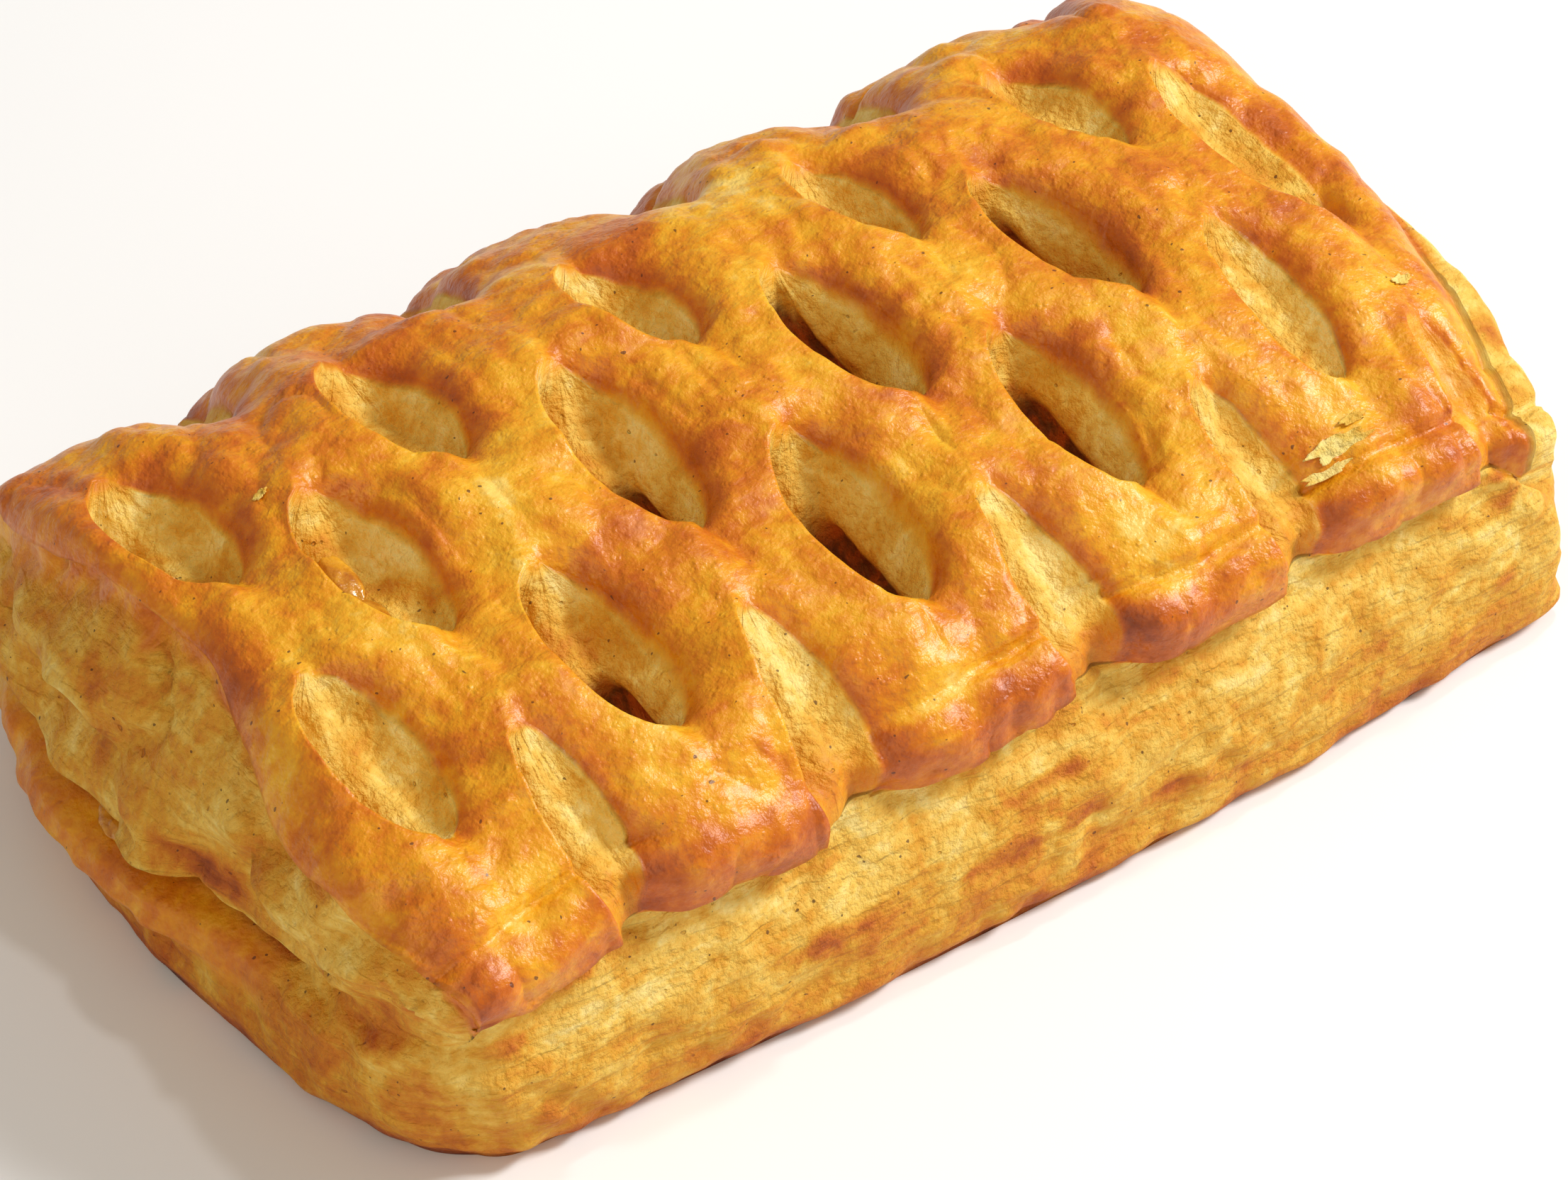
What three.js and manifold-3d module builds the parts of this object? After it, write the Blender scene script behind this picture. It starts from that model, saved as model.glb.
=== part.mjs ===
// A lattice-topped puff pastry bun: an oblong of laminated dough, baked in one
// piece. A lid slit in staggered rows is domed over the filling and sealed down
// both long sides, and each cut end shows a shallow mouth between lid and base.
//
// Millimetres, +Z up. X runs along the bun and Y across it. The origin is the
// centre of the underside's bounding box, and the underside is flat on z = 0.

import * as THREE from "three";
import { mergeVertices } from "three/addons/utils/BufferGeometryUtils.js";
import Module from "manifold-3d";

const wasm = await Module();
wasm.setup();

// ---- driving dimensions ----
const LENGTH = 140; // corner to corner along X
const WIDTH = 87; // seam to seam across Y
const CROWN = 42.2; // middle of the lid above the underside
const SEAM = 21; // lid's lower edge above the underside, at the left end
const SEAM_RISE = 5; // how much higher that edge stands at the right end

const LEFT_END = {
  bow: 10, // how far the base's end bows out past its corners
  lip: 3, // how much further the base's upper lip reaches
  crest: 1, // how far the lid's end bows out at its crest
  mouth: 8, // depth of the crease between base and lid
};
const RIGHT_END = { bow: 8, lip: 1, crest: 3.5, mouth: 5 };
const END_DROP = 5; // how much lower the lid is at its ends than along its middle
const LIP_AT = 0.28; // heights on the bun's ends, as shares of the full height
const MOUTH_AT = 0.4;
const MOUTH_HALF = 0.12; // half the crease's opening
const CREST_FROM = 0.5; // where the lid starts to lean in towards its crest
const TRIM = 1; // the box starts this far below the tray, and is cut flat there
const SIDE_BOW = 3.5; // how far the long walls bow out at mid length, at their foot
const WALL_BULGE = 1.2; // the long walls' outward swell at mid height
const HEEL = 1.8; // how far the walls tuck in where they meet the underside
const BACK_LIFT = 4; // how strongly the lid's crown leans to the far side

const SLIT = { length: 20.5, width: 10.5, depth: 11, floorShare: 0.45 };
const ROWS = [-2, -1, 0, 1, 2]; // the outer two run out over the long edges
const ROW_PITCH = 18; // between rows of slits, across the bun
const SLITS_IN_ROW = 5;
const SLIT_PITCH = 28.2; // between slits in one row, along the bun
const FIRST_SLIT = -63; // X of the first slit in the odd rows
const MIDDLE_ROW = -2; // Y of the middle row

const SEGMENTS = { along: 42, across: 24, up: 12 };

// ---- body: a box with a fine grid on each face, pulled to the bun's shape ----

/** Rises smoothly from 0 at distance half to 1 on the centre. */
function bump(value, centre, half) {
  const d = Math.min(1, Math.abs(value - centre) / half);
  return (1 - d * d) ** 2;
}

/** Height of the lid's lower edge above the underside, at u along the bun. */
function seamHeight(u) {
  return SEAM + (SEAM_RISE * (u + 1)) / 2;
}

/** Height of the lid at u along and v across the bun, each from -1 to 1. */
function lidHeight(u, v) {
  const dome = (1 - Math.abs(v) ** 2.5) ** 0.7;
  const ends = 1 - (END_DROP / (CROWN - SEAM)) * u ** 6;
  const lift = BACK_LIFT * v * (1 - v * v);
  return seamHeight(u) + (CROWN - seamHeight(u)) * dome * ends + lift;
}

/** Half length of the bun towards one end, at v across it and t up the end. */
function halfLength(end, v, t) {
  const open = 1 - v * v;
  const lean = THREE.MathUtils.smoothstep(t, CREST_FROM, 1);
  const bow = THREE.MathUtils.lerp(end.bow, end.crest, lean);
  const lip = end.lip * bump(t, LIP_AT, LIP_AT);
  const crease = end.mouth * bump(t, MOUTH_AT, MOUTH_HALF);
  return LENGTH / 2 + open * (bow + lip - crease) - HEEL * (1 - t) ** 8;
}

/** Half width of the bun at u along it and t up its long wall. */
function halfWidth(u, t) {
  const bow = SIDE_BOW * (1 - u * u) * (1 - t);
  return WIDTH / 2 + bow + WALL_BULGE * Math.sin(Math.PI * t) - HEEL * (1 - t) ** 8;
}

/** X at u along the bun, v across it and t up it. */
function alongX(u, v, t) {
  return u * halfLength(u < 0 ? LEFT_END : RIGHT_END, v, t);
}

/** Crowds the grid towards the long edges, where the lid turns down. */
function crowd(v) {
  return v * (1.4 - 0.4 * v * v);
}

function bodyGeometry() {
  const box = new THREE.BoxGeometry(
    2, 2, 1, SEGMENTS.along, SEGMENTS.across, SEGMENTS.up,
  );
  const at = box.getAttribute("position");
  for (let i = 0; i < at.count; i++) {
    const u = at.getX(i);
    const v = crowd(at.getY(i));
    const t = at.getZ(i) + 0.5;
    const z = THREE.MathUtils.lerp(-TRIM, lidHeight(u, v), t);
    at.setXYZ(i, alongX(u, v, t), v * halfWidth(u, t), z);
  }
  return box;
}

// ---- slits: lens-shaped pockets that narrow towards their floor ----

function slitGeometry(x, y) {
  const half = SLIT.length / 2;
  const lens = new THREE.Shape();
  lens.moveTo(0, -half);
  lens.quadraticCurveTo(SLIT.width, 0, 0, half);
  lens.quadraticCurveTo(-SLIT.width, 0, 0, -half);
  const u = (2 * x) / LENGTH;
  const v = THREE.MathUtils.clamp(y / halfWidth(u, 1), -1, 1);
  const floor = lidHeight(u, v) - SLIT.depth;
  const height = 2 * SLIT.depth;
  const cutter = new THREE.ExtrudeGeometry(lens, {
    depth: height, bevelEnabled: false, curveSegments: 6,
  });
  const at = cutter.getAttribute("position");
  for (let i = 0; i < at.count; i++) {
    const share = at.getZ(i) > 0 ? 2 - SLIT.floorShare : SLIT.floorShare;
    at.setX(i, at.getX(i) * share);
  }
  return cutter.translate(x, y, floor);
}

/** Centres of every slit: staggered rows, the even ones half a pitch further on. */
function slitCentres() {
  return ROWS.flatMap((row) =>
    Array.from({ length: SLITS_IN_ROW }, (_, i) => {
      const stagger = row % 2 === 0 ? 0.5 : 0;
      return [FIRST_SLIT + (i + stagger) * SLIT_PITCH, MIDDLE_ROW + row * ROW_PITCH];
    }),
  );
}

// ---- solids ----

function toSolid(geometry) {
  geometry.deleteAttribute("normal");
  geometry.deleteAttribute("uv");
  const merged = mergeVertices(geometry, 1e-4);
  return new wasm.Manifold(
    new wasm.Mesh({
      numProp: 3,
      vertProperties: new Float32Array(merged.getAttribute("position").array),
      triVerts: new Uint32Array(merged.index.array),
    }),
  );
}

function toGeometry(solid) {
  const mesh = solid.getMesh();
  const geometry = new THREE.BufferGeometry();
  geometry.setAttribute("position", new THREE.BufferAttribute(mesh.vertProperties, 3));
  geometry.setIndex(new THREE.BufferAttribute(mesh.triVerts, 1));
  geometry.computeVertexNormals();
  return geometry;
}

function pastryGeometry() {
  const tray = new THREE.BoxGeometry(2 * LENGTH, 2 * WIDTH, 2 * TRIM);
  let pastry = toSolid(bodyGeometry()).subtract(toSolid(tray.translate(0, 0, -TRIM)));
  for (const [x, y] of slitCentres()) {
    pastry = pastry.subtract(toSolid(slitGeometry(x, y)));
  }
  const geometry = toGeometry(pastry);
  geometry.computeBoundingBox();
  const middle = geometry.boundingBox.getCenter(new THREE.Vector3());
  return geometry.translate(-middle.x, -middle.y, 0);
}

const crust = new THREE.MeshStandardMaterial({
  color: 0xd98f35,
  roughness: 0.45,
  metalness: 0,
});

const bun = new THREE.Group();
const pastry = new THREE.Mesh(pastryGeometry(), crust);
pastry.name = "pastry";
bun.add(pastry);

export default bun;
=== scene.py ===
"""Looks of a lattice-topped puff pastry bun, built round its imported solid.

The bun is one crust: a lid slit in staggered rows and glazed with egg, walls of
pale layered dough, and two cut ends where the base's lip stands out under the
lid. Bits of fruit filling and a few loose flakes lie on it. Shapes are worked
out in millimetres, with +X along the bun and +Z up, and handed over in metres.
"""

from __future__ import annotations

import itertools
import logging
import math
from dataclasses import dataclass, field
from enum import Enum

import bpy
import numpy as np
from mathutils import Matrix, Vector

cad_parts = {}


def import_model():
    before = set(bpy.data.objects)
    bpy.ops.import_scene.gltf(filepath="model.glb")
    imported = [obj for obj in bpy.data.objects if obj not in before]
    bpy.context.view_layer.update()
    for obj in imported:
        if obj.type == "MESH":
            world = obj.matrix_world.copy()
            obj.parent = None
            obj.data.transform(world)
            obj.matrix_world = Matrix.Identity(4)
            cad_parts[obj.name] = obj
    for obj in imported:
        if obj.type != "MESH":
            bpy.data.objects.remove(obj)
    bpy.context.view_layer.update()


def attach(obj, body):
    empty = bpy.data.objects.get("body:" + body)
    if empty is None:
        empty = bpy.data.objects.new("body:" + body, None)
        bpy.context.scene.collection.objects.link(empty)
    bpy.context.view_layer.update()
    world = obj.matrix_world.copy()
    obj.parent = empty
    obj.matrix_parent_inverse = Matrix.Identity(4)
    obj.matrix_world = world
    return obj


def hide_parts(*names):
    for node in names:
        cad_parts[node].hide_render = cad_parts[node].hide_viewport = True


log = logging.getLogger("bun")

Array = np.ndarray
Arrays = dict[str, np.ndarray]
Colour = tuple[float, float, float]
MM = 0.001
DEEP = 11.0  # a deep slit, in millimetres
OUTSIDE = 50.0  # a cut whose reach is past this runs out over a long edge
BURNT = 1.2  # the brownest that a point gets


# ---- plain functions of whole arrays ----


def ease(low: float, high: float, value: Array) -> Array:
    """Return 0 below low, 1 above high and the smooth step 3t^2 - 2t^3 between."""
    t = np.clip((value - low) / (high - low), 0.0, 1.0)
    return t * t * (3.0 - 2.0 * t)


def bell(value: Array, centre: float | Array, half: float | Array) -> Array:
    """Return the bell (1 - d^2)^2, where d is the distance from centre over half."""
    d = np.clip(np.abs(value - centre) / half, 0.0, 1.0)
    return (1.0 - d * d) ** 2


def spot(
    x: Array, y: Array, centre: tuple[float, float], size: tuple[float, float]
) -> Array:
    """Return exp(-d^2), where d is the distance from centre in lengths of size."""
    return np.exp(-(((x - centre[0]) / size[0]) ** 2 + ((y - centre[1]) / size[1]) ** 2))


def lerp(a: Array | float, b: Array | float, share: Array | float) -> Array:
    """Return a + (b - a) times share."""
    return a + (b - a) * share


def noise(points: Array, cell: float | tuple[float, float, float], seed: int) -> Array:
    """Return smooth noise from -1 to 1 at each point.

    Formula: every corner of a box lattice has its own value, hashed from the
    corner's whole-number place, and the eight round a point are blended with
    the weight 3f^2 - 2f^3 along each axis.

    Args:
        points: Points whose last axis is x, y, z in millimetres.
        cell: Edge lengths of the lattice's boxes, or one edge for all three.
        seed: Picks another set of values.

    Returns:
        One value for each point.
    """
    scaled = points / np.asarray(cell, dtype=np.float64)
    whole = np.floor(scaled).astype(np.int64)
    part = scaled - whole
    smooth = part * part * (3.0 - 2.0 * part)
    total = np.zeros(scaled.shape[:-1])
    for corner in itertools.product((0, 1), repeat=3):
        at = (whole + np.array(corner)).astype(np.uint64)
        key = at[..., 0] * np.uint64(374761393) + at[..., 1] * np.uint64(668265263)
        key = key + at[..., 2] * np.uint64(2246822519) + np.uint64(seed * 3266489917 + 7)
        key = (key ^ (key >> np.uint64(15))) * np.uint64(2654435761)
        key = (key ^ (key >> np.uint64(13))) & np.uint64(0xFFFFFF)
        value = key.astype(np.float64) / 0x7FFFFF - 1.0
        total += value * np.where(corner, smooth, 1.0 - smooth).prod(axis=-1)
    return total


def cloudy(points: Array, cell: float, seed: int) -> Array:
    """Return noise summed over three octaves, each half the size and height."""
    return sum(noise(points, cell / 2**k, seed + k) / 2**k for k in range(3))


def lopsided(t: Array, near: float, far: float) -> Array:
    """Return a hump of height 1 over t from 0 to 1.

    Formula: t^near (1 - t)^far, over its own largest value.

    Args:
        t: Places from 0 to 1.
        near: Power at 0; the smaller it is, the steeper the hump starts.
        far: Power at 1.

    Returns:
        The hump's height at each place.
    """
    top = near**near * far**far / (near + far) ** (near + far)
    return t**near * (1 - t) ** far / top


def through(knots: Array, at: Array) -> Array:
    """Return a smooth path through evenly spaced knots.

    Formula: a cubic Hermite curve whose slope at a knot is half the difference
    of the knots on its two sides.

    Args:
        knots: Values at 0, 1/(n-1), ... 1 along the first axis.
        at: Places from 0 to 1.

    Returns:
        One value for each place, along the first axis.
    """
    last = len(knots) - 1
    place = np.clip(at, 0.0, 1.0) * last
    k = np.minimum(place.astype(int), last - 1)
    f = (place - k).reshape(place.shape + (1,) * (knots.ndim - 1))
    slope = np.gradient(knots, axis=0)
    h = 2 * f**3 - 3 * f**2
    bend = slope[k] * (f**3 - 2 * f**2 + f) + slope[k + 1] * (f**3 - f**2)
    return knots[k] * (h + 1) - knots[k + 1] * h + bend


# ---- meshes ----


@dataclass
class Surface:
    """Points, faces and named values of one closed surface, in millimetres."""

    points: Array
    faces: list[Array]
    values: Arrays = field(default_factory=dict)

    def make(self, name: str, material: bpy.types.Material) -> bpy.types.Object:
        """Turn the surface into a smooth-shaded object at the origin.

        Args:
            name: The piece's name.
            material: The piece's finish.

        Returns:
            The new object, in the scene.
        """
        mesh = bpy.data.meshes.new(name)
        loops = np.concatenate([f.ravel() for f in self.faces]).astype(np.int32)
        sizes = np.concatenate([np.full(len(f), f.shape[1]) for f in self.faces])
        starts = np.concatenate([[0], np.cumsum(sizes)[:-1]]).astype(np.int32)
        mesh.vertices.add(len(self.points))
        mesh.vertices.foreach_set("co", (self.points * MM).astype(np.float32).ravel())
        mesh.loops.add(len(loops))
        mesh.loops.foreach_set("vertex_index", loops)
        mesh.polygons.add(len(starts))
        mesh.polygons.foreach_set("loop_start", starts)
        mesh.polygons.foreach_set("use_smooth", np.ones(len(starts), dtype=bool))
        mesh.update(calc_edges=True)
        for label, data in self.values.items():
            kind, slot = ("FLOAT_VECTOR", "vector") if data.ndim == 2 else ("FLOAT", "value")
            layer = mesh.attributes.new(label, kind, "POINT")
            layer.data.foreach_set(slot, data.astype(np.float32).ravel())
        mesh.validate()
        mesh.materials.append(material)
        obj = bpy.data.objects.new(name, mesh)
        bpy.context.scene.collection.objects.link(obj)
        return obj


def grid_faces(index: Array) -> Array:
    """Join a grid of vertex numbers with quads.

    Args:
        index: Vertex numbers, over rows and columns.

    Returns:
        The quads, facing up where columns run to the right and rows away.
    """
    return np.stack(
        [index[:-1, :-1], index[:-1, 1:], index[1:, 1:], index[1:, :-1]], axis=-1
    ).reshape(-1, 4)


def ring_faces(index: Array) -> Array:
    """Return the quads between successive closed rings of vertex numbers."""
    shut = np.concatenate([index, index[:, :1]], axis=1)
    return grid_faces(shut)[:, ::-1]


def capped_faces(rings: int, around: int) -> list[Array]:
    """Return the faces of a stack of rings whose first and last close in a pole.

    Args:
        rings: Number of rings, from the top down.
        around: Points in each ring; the two poles come after them all.

    Returns:
        The quads between the rings and the triangles of the two caps.
    """
    index = np.arange(rings * around).reshape(rings, around)

    def cap(ring: Array, pole: int) -> Array:
        """Return the triangles between a ring and its pole."""
        return np.stack([ring, np.roll(ring, -1), np.full(around, pole)], axis=-1)

    top, bottom = rings * around, rings * around + 1
    return [ring_faces(index), cap(index[0], top), cap(index[-1], bottom)[:, ::-1]]


def merged(parts: list[Surface]) -> Surface:
    """Join surfaces, with each one's faces and values after the last's.

    Args:
        parts: Surfaces that hold the same values.

    Returns:
        All of them as one surface.
    """
    starts = np.cumsum([0] + [len(part.points) for part in parts])
    faces = [face + start for part, start in zip(parts, starts) for face in part.faces]
    values = {
        name: np.concatenate([part.values[name] for part in parts]) for name in parts[0].values
    }
    return Surface(np.concatenate([part.points for part in parts]), faces, values)


# ---- the slits in the lid ----


class Floor(Enum):
    """What lies at the bottom of a slit."""

    DOUGH = "pale dough that closed over again"
    HOLLOW = "a dark gap down to the filling"


@dataclass(frozen=True)
class Slit:
    """One cut in the lid, opened to a lens as the dough rose.

    Lengths are in millimetres. The cut runs across the bun; reach is measured
    over the lid from its ridge, negative towards the near side.
    """

    x: float
    far: float
    near: float
    width: float = 9.4
    depth: float = 8.0
    lean: float = 1.0
    floor: Floor = Floor.DOUGH
    blunt: float = 0.6  # how fast it opens at its near tip; smaller is faster
    gap_to: float = 0.5  # how far along it from the near tip the gap reaches
    taper: float = 0.62  # how fast the lens closes at its far tip
    drop: float = 0.34  # how steeply the pocket falls at its near tip
    ramp: float = 0.44  # how steeply it comes up again at its far tip

    def along(self, reach: Array) -> Array:
        """Return 0 at the near tip and 1 at the far tip, clipped outside."""
        return np.clip((reach - self.near) / (self.far - self.near), 0.0, 1.0)

    def middle(self, reach: Array) -> Array:
        """Return the X of the cut's middle line, which leans from tip to tip."""
        return self.x + self.lean * (0.5 - self.along(reach))

    def opening(self, reach: Array) -> Array:
        """Return the half width of the lens, fullest towards its near tip."""
        return self.width / 2 * lopsided(self.along(reach), self.blunt, self.taper)

    def sinking(self, reach: Array) -> Array:
        """Return the depth of the pocket: steep at its near tip, a ramp at the far."""
        return self.depth * lopsided(self.along(reach), self.drop, self.ramp)

    def gap(self, reach: Array) -> Array:
        """Work out how far the bottom falls away into a gap.

        Args:
            reach: Distance over the lid.

        Returns:
            0 where the bottom is closed, up to 1 where it is open.
        """
        t = self.along(reach)
        shut = 1 - ease(self.gap_to - 0.08, self.gap_to + 0.10, t)
        return (self.floor is Floor.HOLLOW) * ease(0.0, 0.05, t) * shut

    def covers(self, reach: Array) -> Array:
        """Return 1 inside the cut's length and 0 beyond, with soft ends."""
        return ease(self.near - 6, self.near, reach) * ease(-self.far - 6, -self.far, -reach)


def slit_columns() -> list[list[Slit]]:
    """Return the cuts sorted along the bun, the ones on one line together.

    Lines of two cuts and lines of three take turns, a half pitch apart.

    Returns:
        The lines, each with its cuts from the near side to the far.
    """
    gap = Floor.HOLLOW
    return [
        [Slit(-61.2, -10.0, -32.2, 8.2, 6, 1.6), Slit(-61.6, 26.5, 5.4, 8.6, 7.5, 2.0)],
        [
            Slit(-48.4, -26.5, -57.5, 5.4, 5, 1.0, blunt=0.8),
            Slit(-48.6, 9.8, -12.8, 8.8, 8.5, 1.3),
            Slit(-48.5, 57.0, 29.0, 7.4, 6, 1.0),
        ],
        [
            Slit(-35.8, -11.0, -34.0, 9.4, 10, 0.6, gap, gap_to=0.52),
            Slit(-35.4, 25.5, 5.2, 9.0, 9, 1.3),
        ],
        [
            Slit(-21.9, -26.0, -63.0, 8.2, 6, -0.3, blunt=0.45),
            Slit(-19.7, 9.6, -14.6, 9.4, 10.5, 0.2, gap, gap_to=0.50),
            Slit(-20.0, 57.0, 28.0, 8.0, 6, 1.0),
        ],
        [
            Slit(-5.5, -9.6, -34.0, 9.4, 11, -0.8, gap, gap_to=0.72),
            Slit(-7.1, 23.5, 5.6, 8.4, 8, 2.4),
        ],
        [
            Slit(8.0, -26.5, -61.5, 7.6, 6, 2.0, blunt=0.55),
            Slit(8.4, 9.6, -12.8, 9.2, 12, 1.5, gap, gap_to=0.97),
            Slit(8.0, 57.0, 27.5, 8.0, 6, 1.0),
        ],
        [
            Slit(21.9, -9.6, -33.5, 9.2, 11.5, -0.4, gap, gap_to=0.82),
            Slit(22.1, 24.5, 5.8, 8.2, 8, 1.1),
        ],
        [
            Slit(35.1, -26.0, -60.5, 7.0, 6, -0.2, blunt=0.6),
            Slit(36.3, 10.0, -12.5, 9.0, 12, 2.6, gap, gap_to=0.90),
            Slit(36.0, 57.0, 28.0, 7.8, 6, 1.0),
        ],
        [Slit(50.6, -8.5, -32.4, 7.0, 5.4, -2.2), Slit(50.5, 26.0, 6.8, 7.6, 6, 2.6)],
        [
            Slit(61.6, -29.0, -60.5, 5.4, 5.2, -1.6, blunt=0.7),
            Slit(63.8, 14.0, -13.0, 7.6, 5, 1.4),
            Slit(63.0, 57.0, 31.0, 5.0, 4, 1.0),
        ],
    ]


# ---- the crust ----


@dataclass
class Crust:
    """The whole baked crust: lid, walls, ends and underside, as one surface."""

    corner: float = 70.0  # from the middle to a corner, along X
    middle: float = 2.0  # X midway between the corners
    seam: float = 43.9  # from the middle to the lid's long edge, along Y
    seam_height: float = 21.6
    seam_rise: float = 2.0  # how much higher the edge is at the right end
    crown: float = 41.6
    end_drop: float = 4.2
    back_lift: float = 5.0
    side_bow: float = 3.4  # how far the long walls' foot bows out
    tab_band: float = 8.6  # the turned-down band along the lid's long edges
    closed: float = 1.05  # half width that a closed cut's lines keep
    rows: int = 150
    strand_steps: int = 15
    wall_rows: int = 46
    lines: list[list[Slit]] = field(default_factory=slit_columns)

    # -- the lid's plain dome --

    def arch(self) -> tuple[Array, Array, Array]:
        """Work out the curve over the lid, from its near edge to its far edge.

        Formula: a superellipse, |y|^n + z^m = 1, squarer on the near side,
        walked at equal steps of its length.

        Returns:
            The distance walked over the lid from its ridge, in millimetres, and
            y and z, each as a share of the half width and of the rise.
        """
        turn = np.linspace(0.0, math.pi, 4001)
        share = ease(0.35 * math.pi, 0.65 * math.pi, turn)
        n = lerp(2.5, 2.3, share)
        m = lerp(2.35, 2.0, share)
        y = -np.sign(np.cos(turn)) * np.abs(np.cos(turn)) ** (2 / n)
        z = np.sin(turn) ** (2 / m)
        rise = self.crown - self.seam_height
        step = np.hypot(np.diff(y) * self.seam, np.diff(z) * rise)
        walked = np.concatenate([[0.0], np.cumsum(step)])
        walked -= walked[len(walked) // 2]
        return walked, y, z

    def seam_at(self, u: Array) -> Array:
        """Return the height of the lid's long edge at u, from -1 to 1 along the bun."""
        return self.seam_height + self.seam_rise * (u + 1) / 2

    def dome(self, x: Array, y_share: Array, z_share: Array) -> Array:
        """Work out the lid's height.

        Formula: the arch's rise, less towards the two ends by the fifth power
        of the way there, on a long edge that droops at the near right corner,
        and lifted towards the far side.

        Args:
            x: Place along the bun, in millimetres.
            y_share: The arch's place across, from -1 to 1.
            z_share: The arch's height, from 0 to 1.

        Returns:
            The height above the underside, in millimetres.
        """
        u = np.clip((x - self.middle) / self.corner, -1.1, 1.1)
        droop = 6.5 * ease(0.82, 1.0, u) * ease(0.2, 0.95, -y_share)
        low = self.seam_at(u) - droop
        rise = (self.crown - low) - self.end_drop * np.abs(u) ** 5
        lift = self.back_lift * y_share * (1 - y_share**2)
        return low + rise * z_share + lift

    def end_line(self, y_share: Array, side: int) -> Array:
        """Work out the lid's cut edge, which swings out and in a little.

        Args:
            y_share: The arch's place across, from -1 to 1.
            side: -1 for the left end, 1 for the right end.

        Returns:
            The edge's X at each place.
        """
        if side < 0:
            swings = [-1.5, 3.0, 4.2, 1.6, -1.2, 0.6, 2.6, 2.4, -1.5]
        else:
            swings = [-6.2, -3.4, -0.6, 2.6, 4.6, 4.6, 4.2, 3.0, -2.0]
        swing = through(np.array(swings), (y_share + 1) / 2)
        return self.middle + side * (self.corner + swing)

    # -- the lid with its slits --

    def lid(self) -> Arrays:
        """Lay the lid's grid and sink the slits into it.

        Formula: the lines of the grid that belong to a cut spread from a
        narrow stripe to the lens of its opening, and the lines of the strands
        share out what is left between two openings. The grid is then pushed
        along the arch's normal: out by the strands' puffing, in by the pockets.

        Returns:
            Arrays over rows and columns: position, and the values that the
            finish reads.
        """
        walked, arch_y, arch_z = self.arch()
        reach = np.linspace(walked[0], walked[-1], self.rows)
        y_share = np.interp(reach, walked, arch_y)
        left, right = self.end_line(y_share, -1), self.end_line(y_share, 1)
        steps = self.strand_places()
        parts = [self.strand(left[:, None], left[:, None], steps[:1])]
        for line in self.lines:
            cut = self.cut_lines(line, reach)
            parts += [self.strand(parts[-1]["x"][:, -1:], cut["x"][:, :1], steps[1:-1]), cut]
        parts.append(self.strand(parts[-1]["x"][:, -1:], right[:, None], steps[1:]))
        grid = {name: np.concatenate([part[name] for part in parts], axis=1) for name in parts[0]}
        x = grid["x"]
        hole = spot(x, reach[:, None], (-64.2, 20.5), (1.1, 1.0))
        sink = grid["sink"] + 3.4 * hole

        # Uneven lid edges: each tab ends a little higher or lower.
        flat = np.stack([x, np.zeros_like(x), np.zeros_like(x)], axis=-1)
        uneven = 0.9 * noise(flat, 13.0, 5) + 0.3 * noise(flat, 4.5, 6)
        uneven = uneven + 0.6 * self.beside_notch(x)
        near_edge = ease(reach[-1] - 22, reach[-1], np.abs(reach))[:, None]
        place = reach[:, None] * np.ones_like(x)
        place = place - np.sign(place) * near_edge * (0.6 + uneven)
        ys = np.interp(place, walked, arch_y)
        zs = np.interp(place, walked, arch_z)
        base = np.stack([x, ys * self.seam, self.dome(x, ys, zs)], axis=-1)
        normal = self.arch_normal(base)

        rim, ring, lip = self.near_slits(base, reach)
        point = base + normal * (self.puffing(base, rim, lip) - sink)[..., None]
        fold = self.tab_crease(base, reach) * (1 - grid["inside"] * ease(0.3, 1.2, sink))
        point = self.round_ends(point + normal * fold[..., None], left, right, y_share)
        return grid | {
            "point": point,
            "base": base,
            "sink": sink,
            "hole": hole,
            "ring": ring,
            "lip": lip,
            "reach": place,
        }

    def strand(self, start: Array, end: Array, steps: Array) -> Arrays:
        """Lay the lines of a strand, which have no slit in them.

        Args:
            start: The X that the strand starts from, in each row.
            end: The X that it ends at.
            steps: Places of its lines between the two, from 0 to 1.

        Returns:
            The same arrays over rows and lines as cut_lines gives.
        """
        x = lerp(start, end, steps[None, :])
        return {"x": x} | dict.fromkeys(("sink", "inside", "hollow", "across"), np.zeros_like(x))

    def cut_lines(self, line: list[Slit], reach: Array) -> Arrays:
        """Return the grid's lines in the cuts at one place along the bun.

        Args:
            line: The cuts there.
            reach: Each row's distance over the lid.

        Returns:
            Over rows and lines: X, depth, whether a cut is open, how far its
            bottom falls away, and the place across it from -1 to 1.
        """
        weights = np.array([slit.covers(reach) for slit in line])
        places = np.array([slit.middle(reach) for slit in line])
        plain = np.mean([slit.x for slit in line])
        shift = ((places - plain) * weights).sum(axis=0) / np.maximum(weights.sum(axis=0), 1)
        half = sum(slit.opening(reach) for slit in line)[:, None]
        sink = sum(slit.sinking(reach) for slit in line)[:, None]
        gap = sum(slit.gap(reach) for slit in line)[:, None]

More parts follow.
